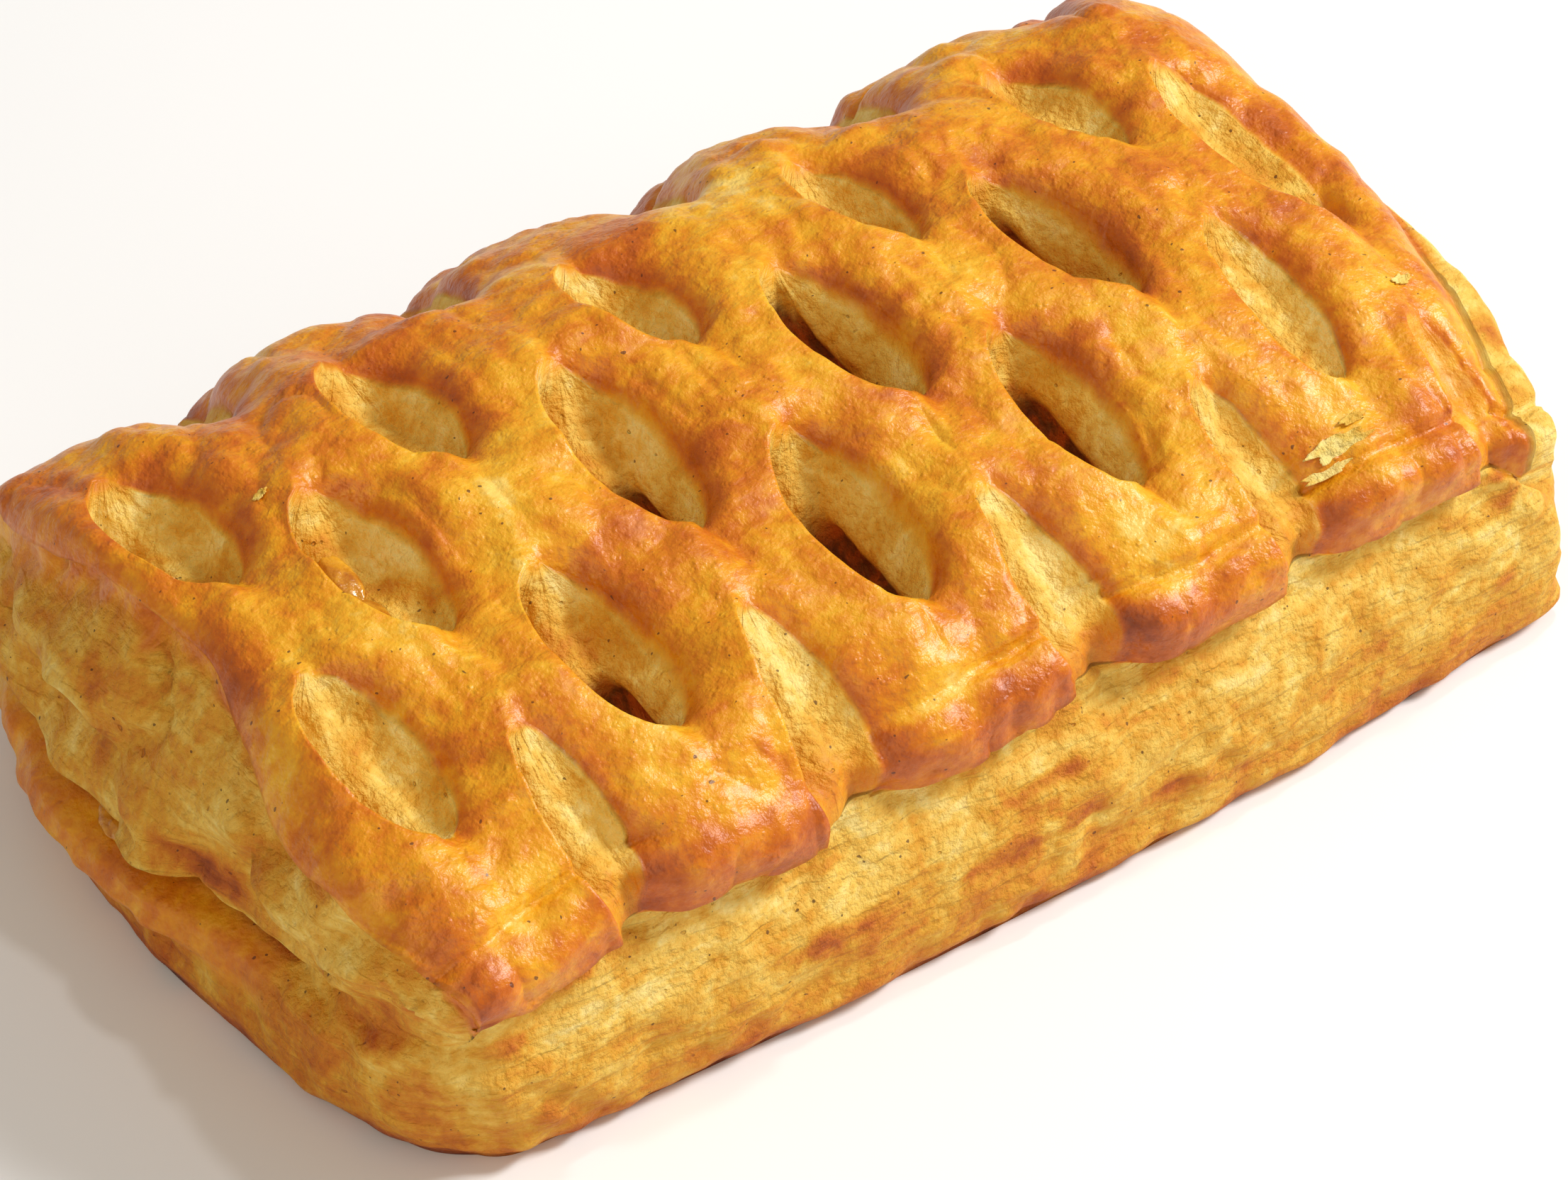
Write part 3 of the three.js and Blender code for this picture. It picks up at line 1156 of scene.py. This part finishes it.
@dataclass
class Flakes:
    """Thin flakes that came loose from the top layers."""

    flakes: tuple[Flake, ...] = (
        Flake(44.4, -39.6, 7.6, 2.2, 81, 0.12),
        Flake(42.2, -42.0, 5.2, 1.3, 83, 0.12),
        Flake(47.0, -38.0, 3.4, 1.2, 85, 0.15),
        Flake(64.5, -24.6, 2.4, 1.2, 87),
        Flake(-53.0, 12.0, 1.8, 1.0, 89),
    )
    thickness: float = 0.22

    def plate(self, flake: Flake, lid: Arrays) -> Surface:
        """Work out one flake on the lid.

        Formula: a disc of rings in the lid's tangent plane, its outline made
        ragged by noise over the angle; its ends curl up with the square of the
        distance, and its two faces stand half a thickness off its middle.

        Args:
            flake: The flake's place and size.
            lid: The lid's arrays.

        Returns:
            The flake's closed plate, with the values that its finish reads.
        """
        row = int(np.argmin(np.abs(lid["reach"][:, 0] - flake.reach)))
        column = int(np.argmin(np.abs(lid["base"][row, :, 0] - flake.x)))
        grid = lid["point"]
        along = grid[row, column + 4] - grid[row, column - 4]
        normal = np.cross(along, grid[row + 3, column] - grid[row - 3, column])
        along, normal = along / np.linalg.norm(along), normal / np.linalg.norm(normal)
        up = np.cross(normal, along)
        share = np.array([0.25, 0.5, 0.75, 0.9, 1.0, 1.0, 0.9, 0.75, 0.5, 0.25])[:, None]
        face = np.array([1.0] * 4 + [0.6, -0.6] + [-1.0] * 4)[:, None]
        angle = np.linspace(0, 2 * math.pi, 64, endpoint=False)
        loop = np.stack([np.cos(angle), np.sin(angle), 0 * angle], axis=-1) * 10
        ragged = 1 + 0.30 * noise(loop, 5.0, flake.seed) + 0.16 * noise(loop, 1.6, flake.seed + 1)
        a = flake.length / 2 * share * np.cos(angle) * ragged
        b = flake.width / 2 * share * np.sin(angle) * ragged
        wave = noise(np.stack([a, b, 0 * a], axis=-1), 1.5, flake.seed + 2)
        half = self.thickness / 2
        height = flake.lift + 0.035 * a**2 + 0.12 * wave + face * half
        plate = a[..., None] * along + b[..., None] * up + height[..., None] * normal
        poles = np.array([[flake.lift + half], [flake.lift - half]]) * normal
        points = grid[row, column] + np.concatenate([plate.reshape(-1, 3), poles])
        ones = np.ones(len(points))
        values = {"cut": ones, "bake_and_shade": 0.10 * ones, "painted_shade": 0 * ones, "lamina": points}
        return Surface(points, capped_faces(*a.shape), values)

    def surface(self, lid: Arrays) -> Surface:
        """Return every flake as one surface."""
        return merged([self.plate(flake, lid) for flake in self.flakes])


# ---- finishes ----


def srgb(red: int, green: int, blue: int) -> Colour:
    """Return a linear colour from screen values of 0 to 255.

    Args:
        red: Red.
        green: Green.
        blue: Blue.
    """
    parts = [channel / 255 for channel in (red, green, blue)]
    return tuple(c / 12.92 if c <= 0.04045 else ((c + 0.055) / 1.055) ** 2.4 for c in parts)


Socket = bpy.types.NodeSocket
Value = Socket | float | tuple


class Bench:
    """Adds nodes to one tree and wires them up."""

    def __init__(self, tree: bpy.types.NodeTree) -> None:
        """Keep the tree."""
        self.tree = tree

    @classmethod
    def material(cls, name: str) -> tuple[bpy.types.Material, Bench, Socket]:
        """Start a material.

        Args:
            name: The material's name.

        Returns:
            The material, its bench, and a point's place in millimetres.
        """
        material = bpy.data.materials.new(name)
        material.use_nodes = True
        material.node_tree.nodes.clear()
        bench = cls(material.node_tree)
        place = bench.put("ShaderNodeTexCoord").outputs["Object"]
        return material, bench, bench.scale(place, (1 / MM, 1 / MM, 1 / MM))

    def put(
        self, kind: str, settings: dict[str, object] | None = None, **inputs: Value
    ) -> bpy.types.Node:
        """Add a node, set its options and fill its inputs.

        Args:
            kind: The node's type name.
            settings: Option names and values.
            inputs: Socket names, with _ for a space, and what goes in each.

        Returns:
            The new node.
        """
        node = self.tree.nodes.new(kind)
        for name, value in (settings or {}).items():
            setattr(node, name, value)
        for name, value in inputs.items():
            self.feed(node.inputs[name.replace("_", " ")], value)
        return node

    def feed(self, socket: Socket, value: Value) -> None:
        """Link a socket to another, or set its value.

        Args:
            socket: The input.
            value: A socket, a number, or three numbers.
        """
        if isinstance(value, bpy.types.NodeSocket):
            self.tree.links.new(value, socket)
        else:
            colour = socket.type == "RGBA" and len(value) == 3
            socket.default_value = (*value, 1.0) if colour else value

    def dress(self, **inputs: Value) -> None:
        """Add the Principled shader with its inputs, and the material's output."""
        shader = self.put(
            "ShaderNodeBsdfPrincipled", {"subsurface_method": "RANDOM_WALK"}, **inputs
        )
        self.put("ShaderNodeOutputMaterial", {"is_active_output": True}, Surface=shader.outputs[0])

    def math(self, operation: str, *values: Value, clamp: bool = False) -> Socket:
        """Work out a sum on two or three numbers.

        Args:
            operation: The math node's operation.
            values: What goes in, in order.
            clamp: Whether the result is held between 0 and 1.

        Returns:
            The result.
        """
        node = self.put("ShaderNodeMath", {"operation": operation, "use_clamp": clamp})
        for socket, value in zip(node.inputs, values):
            self.feed(socket, value)
        return node.outputs[0]

    def total(self, *terms: tuple[Value, float]) -> Socket:
        """Add up values, each times its weight.

        Args:
            terms: Pairs of a value and its weight.

        Returns:
            The sum.
        """
        result = 0.0
        for value, weight in terms:
            result = self.math("MULTIPLY_ADD", value, weight, result)
        return result

    def scale(self, vector: Value, factors: tuple[float, float, float]) -> Socket:
        """Return a vector times three factors.

        Args:
            vector: The vector.
            factors: One factor for each axis.

        Returns:
            The scaled vector.
        """
        node = self.put("ShaderNodeVectorMath", {"operation": "MULTIPLY"})
        self.feed(node.inputs[0], vector)
        self.feed(node.inputs[1], factors)
        return node.outputs[0]

    def noise(
        self, place: Value, scale: float, detail: float, rough: float, twist: float = 0.0
    ) -> Socket:
        """Return fractal noise from 0 to 1.

        Args:
            place: Where the noise is read.
            scale: How many lumps there are in a millimetre.
            detail: Number of octaves.
            rough: How strong each finer octave is.
            twist: How much the noise is warped.

        Returns:
            The noise.
        """
        return self.put(
            "ShaderNodeTexNoise",
            Vector=place, Scale=scale, Detail=detail, Roughness=rough, Distortion=twist,
        ).outputs[0]

    def remap(
        self, value: Value, low: float, high: float, to_low: float = 0.0, to_high: float = 1.0
    ) -> Socket:
        """Return a value moved smoothly from one range to another.

        Args:
            value: The value.
            low: Start of its range.
            high: End of its range.
            to_low: What low becomes.
            to_high: What high becomes.

        Returns:
            The moved value, held between the two ends.
        """
        return self.put(
            "ShaderNodeMapRange", {"interpolation_type": "SMOOTHSTEP"},
            Value=value, From_Min=low, From_Max=high, To_Min=to_low, To_Max=to_high,
        ).outputs[0]

    def ramp(self, value: Value, stops: dict[float, Colour]) -> Socket:
        """Return the colour at a value on a ramp of colours.

        Args:
            value: Place on the ramp.
            stops: Colours by their place on it.

        Returns:
            The colour.
        """
        node = self.put("ShaderNodeValToRGB", Fac=value)
        marks = node.color_ramp.elements
        while len(marks) < len(stops):
            marks.new(0.5)
        for mark, (place, colour) in zip(marks, stops.items()):
            mark.position = place
            mark.color = (*colour, 1.0)
        return node.outputs[0]

    def mix(self, share: Value, a: Value, b: Value) -> Socket:
        """Return two colours mixed.

        Args:
            share: How much of the second.
            a: The first colour.
            b: The second colour.

        Returns:
            The mixed colour.
        """
        node = self.put("ShaderNodeMix", {"data_type": "RGBA"})
        for index, value in ((0, share), (6, a), (7, b)):
            self.feed(node.inputs[index], value)
        return node.outputs[2]

    def attribute(self, name: str, output: str = "Fac") -> Socket:
        """Return one of the piece's own values."""
        return self.put("ShaderNodeAttribute", {"attribute_name": name}).outputs[output]

    def effect(self, group: bpy.types.NodeTree, **inputs: Value) -> bpy.types.Node:
        """Add a shared effect."""
        return self.put("ShaderNodeGroup", {"node_tree": group}, **inputs)

    def bump(self, height: Value, strength: float, distance: float) -> Socket:
        """Return the normal that a height gives.

        Args:
            height: The height.
            strength: How much of it is used.
            distance: What a height of 1 stands for, in metres.

        Returns:
            The bent normal.
        """
        return self.put(
            "ShaderNodeBump", Strength=strength, Distance=distance, Height=height
        ).outputs["Normal"]


class Effects:
    """Node groups that several finishes share, each built once."""

    @staticmethod
    def begin(name: str, inputs: tuple[str, ...]) -> tuple[Bench, bpy.types.NodeOutputs]:
        """Start a group; an input called Bake is a number, and the others are vectors.

        Args:
            name: The group's name.
            inputs: Names of what goes in.

        Returns:
            The group's bench and its inputs by name.
        """
        tree = bpy.data.node_groups.new(name, "ShaderNodeTree")
        for label in inputs:
            kind = "NodeSocketFloat" if label == "Bake" else "NodeSocketVector"
            tree.interface.new_socket(label, in_out="INPUT", socket_type=kind)
        bench = Bench(tree)
        return bench, bench.put("NodeGroupInput").outputs

    @staticmethod
    def end(bench: Bench, **outputs: Socket) -> bpy.types.NodeTree:
        """Finish a group; an output called Colour is a colour, the others numbers.

        Args:
            bench: The group's bench.
            outputs: What comes out, by name.

        Returns:
            The group.
        """
        for label in outputs:
            kind = "NodeSocketColor" if label == "Colour" else "NodeSocketFloat"
            bench.tree.interface.new_socket(label, in_out="OUTPUT", socket_type=kind)
        bench.put("NodeGroupOutput", **outputs)
        return bench.tree

    @classmethod
    def browning(cls) -> bpy.types.NodeTree:
        """Build the colour of glazed crust: golden to burnt, mottled at three sizes.

        Returns:
            The group, which gives Colour and Mottle.
        """
        bench, inputs = cls.begin("browning", ("Place", "Bake"))
        place = inputs["Place"]
        fine = bench.noise(place, 0.50, 3, 0.55, 0.4)
        mottle = bench.total(
            (bench.noise(place, 0.14, 4, 0.6, 0.5), 0.95),
            (fine, 0.55),
            (bench.noise(place, 2.2, 2, 0.5), 0.14),
        )
        level = bench.math("ADD", bench.math("SUBTRACT", mottle, 0.82), inputs["Bake"], clamp=True)
        colour = bench.ramp(
            level,
            {
                0.00: srgb(238, 198, 96),
                0.16: srgb(232, 172, 36),
                0.34: srgb(222, 146, 12),
                0.50: srgb(208, 118, 6),
                0.66: srgb(190, 94, 6),
                0.84: srgb(166, 76, 8),
                1.00: srgb(134, 56, 8),
            },
        )
        return cls.end(bench, Colour=colour, Mottle=fine)

    @classmethod
    def layering(cls) -> bpy.types.NodeTree:
        """Build the stripes and crumb of bare dough, drawn out along the layers.

        Returns:
            The group, which gives Colour and Height.
        """
        bench, inputs = cls.begin("layering", ("Lamina", "Place", "Bake"))
        lamina, place = inputs["Lamina"], inputs["Place"]
        stripe = bench.total(
            (bench.noise(bench.scale(lamina, (0.10, 0.10, 0.55)), 1.0, 4, 0.58, 0.35), 0.55),
            (bench.noise(bench.scale(lamina, (0.34, 0.34, 1.3)), 1.0, 2, 0.5, 0.15), 0.45),
        )
        pits = bench.noise(place, 0.95, 4, 0.60, 0.1)
        cloud = bench.noise(place, 0.15, 3, 0.6, 0.5)
        flakes = bench.noise(bench.scale(lamina, (0.16, 0.16, 0.80)), 1.0, 3, 0.5, 0.3)
        flake = bench.remap(flakes, 0.40, 0.60)
        cells = bench.noise(bench.scale(place, (0.8, 0.8, 1.2)), 1.0, 1, 0.4)
        hole = bench.remap(cells, 0.18, 0.24, 1.0, 0.0)
        # the crumb's pores are painted darker: painted shade in the holes
        tone = bench.total(
            (stripe, 0.22), (cloud, 1.0), (pits, 0.36), (flake, -0.06), (hole, 0.10)
        )
        level = bench.math("ADD", bench.math("SUBTRACT", tone, 0.77), inputs["Bake"], clamp=True)
        colour = bench.ramp(
            level,
            {
                0.00: srgb(242, 214, 128),
                0.14: srgb(232, 190, 84),
                0.30: srgb(218, 158, 42),
                0.48: srgb(204, 124, 20),
                0.66: srgb(182, 92, 14),
                0.84: srgb(140, 60, 14),
                1.00: srgb(62, 26, 12),
            },
        )
        height = bench.total((stripe, 0.38), (pits, 0.95), (flake, 0.22), (hole, -0.5))
        return cls.end(bench, Colour=colour, Height=height)

    @classmethod
    def crinkle(cls) -> bpy.types.NodeTree:
        """Build the height of baked skin: fine blisters and drawn-out wrinkles.

        Returns:
            The group, which gives Height.
        """
        bench, inputs = cls.begin("crinkle", ("Place",))
        place = inputs["Place"]
        cells = bench.put("ShaderNodeTexVoronoi", {"feature": "F1"}, Vector=place, Scale=1.15)
        some = bench.remap(bench.noise(place, 0.33, 2, 0.5), 0.40, 0.60)
        round_ = bench.remap(cells.outputs["Distance"], 0.05, 0.42, 1.0, 0.0)
        wrinkle = bench.put(
            "ShaderNodeTexVoronoi", {"feature": "DISTANCE_TO_EDGE"},
            Vector=bench.scale(place, (0.30, 0.42, 0.30)), Scale=1.0,
        )
        height = bench.total(
            (bench.noise(place, 0.75, 3, 0.5), 0.40),
            (bench.noise(place, 3.2, 2, 0.5), 0.10),
            (bench.remap(wrinkle.outputs["Distance"], 0.0, 0.18), 0.05),
            (bench.math("MULTIPLY", round_, some), 0.09),
        )
        return cls.end(bench, Height=height)


@dataclass(frozen=True)
class CrustFinish:
    """Egg-glazed skin and bare layered dough, told apart by the crust's values."""

    glaze_roughness: float = 0.31
    dough_roughness: float = 0.60
    coat: float = 0.12
    # painted shade colours, dark brown to amber, for slit gaps, deep slits, the small hole and the
    # mouth
    painted_shade_dark: Colour = srgb(90, 32, 10)
    painted_shade_warm: Colour = srgb(176, 78, 16)
    speck: Colour = srgb(70, 30, 12)

    def build(self) -> bpy.types.Material:
        """Make the material.

        Returns:
            The crust's material.
        """
        material, bench, place = Bench.material("crust_finish")
        cut, bake_and_shade, painted_shade = map(bench.attribute, ("cut", "bake_and_shade", "painted_shade"))
        brown = bench.effect(Effects.browning(), Place=place, Bake=bake_and_shade)
        layers = bench.effect(
            Effects.layering(), Lamina=bench.attribute("lamina", "Vector"), Place=place, Bake=bake_and_shade
        )
        skin = bench.effect(Effects.crinkle(), Place=place)
        colour = bench.mix(cut, brown.outputs["Colour"], layers.outputs["Colour"])
        lumps = bench.remap(bench.noise(place, 0.30, 4, 0.6, 0.6), 0.36, 0.62)
        # painted shade: mottled dark colour mixed in where slits, the hole and the mouth lie in
        # shade
        painted_shade_colour = bench.mix(lumps, self.painted_shade_dark, self.painted_shade_warm)
        colour = bench.mix(bench.remap(painted_shade, 0.1, 1.0, 0.0, 0.92), colour, painted_shade_colour)
        dots = bench.remap(bench.noise(place, 1.5, 0, 0.5), 0.835, 0.86, 0.0, 0.75)
        colour = bench.mix(dots, colour, self.speck)

        gloss = bench.remap(bench.noise(place, 0.45, 3, 0.6), 0.35, 0.65, 0.75, 1.0)
        bare = bench.math("SUBTRACT", 1.0, cut)
        height = bench.math("MULTIPLY", layers.outputs["Height"], cut)
        bench.dress(
            Base_Color=colour,
            Roughness=bench.total(
                (bare, self.glaze_roughness),
                (cut, self.dough_roughness),
                (brown.outputs["Mottle"], 0.16),
            ),
            Coat_Weight=bench.math("MULTIPLY", bench.math("MULTIPLY", bare, gloss), self.coat),
            Normal=bench.bump(
                bench.math("MULTIPLY_ADD", skin.outputs["Height"], bare, height), 1.0, 0.8 * MM
            ),
            Coat_Roughness=0.24,
            Specular_IOR_Level=0.38,
            Subsurface_Weight=0.12,
            Subsurface_Radius=(1.0, 0.45, 0.15),
            Subsurface_Scale=2.5 * MM,
        )
        return material


@dataclass(frozen=True)
class FillingFinish:
    """Glossy, half clear fruit filling."""

    pale: Colour = srgb(222, 162, 44)
    dark: Colour = srgb(176, 104, 16)

    def build(self) -> bpy.types.Material:
        """Make the material, clouded between its two colours.

        Returns:
            The filling's material.
        """
        material, bench, place = Bench.material("filling_finish")
        cloud = bench.noise(place, 0.45, 4, 0.6, 0.4)
        bench.dress(
            Base_Color=bench.ramp(cloud, {0.35: self.dark, 0.65: self.pale}),
            Roughness=bench.remap(bench.noise(place, 1.6, 2, 0.5), 0.3, 0.7, 0.10, 0.26),
            Normal=bench.bump(bench.noise(place, 0.9, 3, 0.55), 0.7, 0.4 * MM),
            Subsurface_Weight=0.15,
            Subsurface_Radius=(1.0, 0.5, 0.15),
            Subsurface_Scale=3 * MM,
            Coat_Weight=0.25,
            Coat_Roughness=0.08,
        )
        return material


# ---- stage ----


@dataclass(frozen=True)
class Studio:
    """Pale floor, soft light and the camera, in metres and degrees."""

    azimuth: float = -36.62
    elevation: float = 41.52
    distance: float = 0.50128
    focal: float = 112.6
    target: tuple[float, float, float] = (-0.00587, -0.01068, 0.020)
    floor_half: float = 3000.0  # in millimetres, as every mesh

    def camera(self) -> None:
        """Place the camera round the target and make it the scene's own."""
        turn, tilt = math.radians(self.azimuth), math.radians(self.elevation)
        level = math.cos(tilt)
        back = Vector((math.sin(turn) * level, -math.cos(turn) * level, math.sin(tilt)))
        right = Vector((math.cos(turn), math.sin(turn), 0.0))
        up = back.cross(right)
        data = bpy.data.cameras.new("camera")
        data.lens = self.focal
        data.sensor_width = 36.0
        data.clip_start = 0.01
        data.clip_end = 20.0
        obj = bpy.data.objects.new("camera", data)
        obj.matrix_world = Matrix.Translation(Vector(self.target) + back * self.distance) @ Matrix(
            (right, up, back)
        ).transposed().to_4x4()
        bpy.context.scene.collection.objects.link(obj)
        bpy.context.scene.camera = obj

    def light(
        self, name: str, place: tuple[float, float, float], size: float, power: float,
        colour: Colour = (1.0, 1.0, 1.0),
    ) -> None:
        """Add a square lamp that faces the bun.

        Args:
            name: The lamp's name.
            place: Where it stands, in metres.
            size: Length of its side, in metres.
            power: In watts.
            colour: Its light's colour.
        """
        data = bpy.data.lights.new(name, "AREA")
        data.size = size
        data.energy = power
        data.color = colour
        obj = bpy.data.objects.new(name, data)
        obj.location = place
        aim = Vector((0.0, 0.0, self.target[2])) - Vector(place)
        obj.rotation_euler = aim.to_track_quat("-Z", "Y").to_euler()
        bpy.context.scene.collection.objects.link(obj)

    def floor(self) -> None:
        """Lay a pale floor under the bun."""
        material, bench, place = Bench.material("floor_finish")
        tone = bench.noise(place, 3.0 * MM, 3, 0.55)
        bench.dress(
            Base_Color=bench.ramp(tone, {0.3: (0.86, 0.86, 0.86), 0.7: (0.90, 0.90, 0.90)}),
            Roughness=0.9,
            Specular_IOR_Level=0.1,
        )
        corners = self.floor_half * np.array([[-1, -1, 0], [1, -1, 0], [1, 1, 0], [-1, 1, 0]])
        obj = Surface(corners, [np.array([[0, 1, 2, 3]])]).make("floor", material)

    def build(self) -> None:
        """Set up floor, lights, sky and camera."""
        self.floor()
        self.light("key", (1.04, -0.48, 1.00), 0.36, 22.5)
        self.light("glint", (0.25, 0.05, 0.80), 0.05, 0.8)
        self.light("fill", (-0.55, -0.45, 0.50), 0.60, 1.8, (1.0, 0.86, 0.66))
        world = bpy.data.worlds.new("soft_sky")
        world.use_nodes = True
        sky = world.node_tree.nodes["Background"]
        sky.inputs["Color"].default_value = (1.0, 0.95, 0.87, 1.0)
        sky.inputs["Strength"].default_value = 0.35
        bpy.context.scene.world = world
        bpy.context.scene.view_settings.view_transform = "Standard"
        self.camera()


# ---- the bun ----


@dataclass
class Bun:
    """The finished bun: its crust and what lies on it."""

    crust: Crust = field(default_factory=Crust)
    filling: Filling = field(default_factory=Filling)
    flakes: Flakes = field(default_factory=Flakes)

    def build(self) -> list[bpy.types.Object]:
        """Build every piece, dress it and let it ride on the bun's body.

        Returns:
            The pieces, in the order they were made.
        """
        finish = CrustFinish().build()
        lid = self.crust.lid()
        crust = self.crust.surface(lid).make("crust", finish)
        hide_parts("pastry")
        filling = self.filling.surface().make("filling", FillingFinish().build())
        flakes = self.flakes.surface(lid).make("flakes", finish)
        for piece, slot in ((crust, "crust"), (filling, "filling"), (flakes, "crust")):
            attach(piece, "root")
        return [crust, filling, flakes]


def main() -> None:
    """Load the frame, build the bun and its stage, and note the sizes."""
    logging.basicConfig(level=logging.INFO, format="%(name)s: %(message)s")
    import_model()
    for piece in Bun().build():
        log.info("%s: %d faces", piece.name, len(piece.data.polygons))
    Studio().build()


if __name__ == "__main__":
    main()
